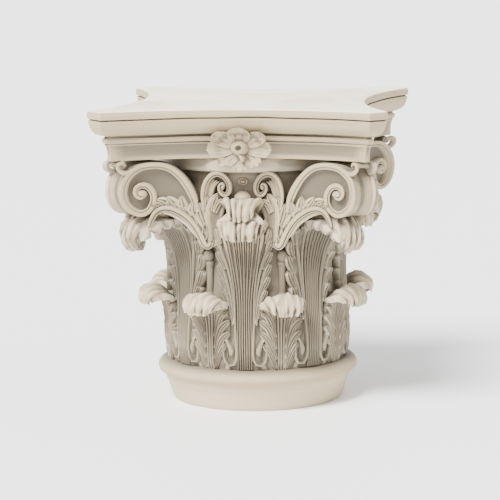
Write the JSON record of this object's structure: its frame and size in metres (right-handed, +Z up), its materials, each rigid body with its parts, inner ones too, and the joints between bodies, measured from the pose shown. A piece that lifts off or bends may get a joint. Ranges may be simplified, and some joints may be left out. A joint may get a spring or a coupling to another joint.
{
  "type": "corinthian capital",
  "caption": "Cast decorative column capital with a round moulded foot, acanthus leaves, corner volutes and a flat hollow-sided slab on top.",
  "frame": {"origin": "centre of the flat underside of the round foot", "axes": "+Z up along the axis of the bell, -Y towards the face seen in front, the four faces of the slab square to X and Y"},
  "size_m": [0.385, 0.385, 0.4],
  "materials": {
    "cast_stone": "matt cast resin with the look of old limestone, cream on the raised carving and grey-brown in the hollows"
  },
  "bodies": {
    "root": {"capital": "cast_stone"}
  },
  "joints": []
}
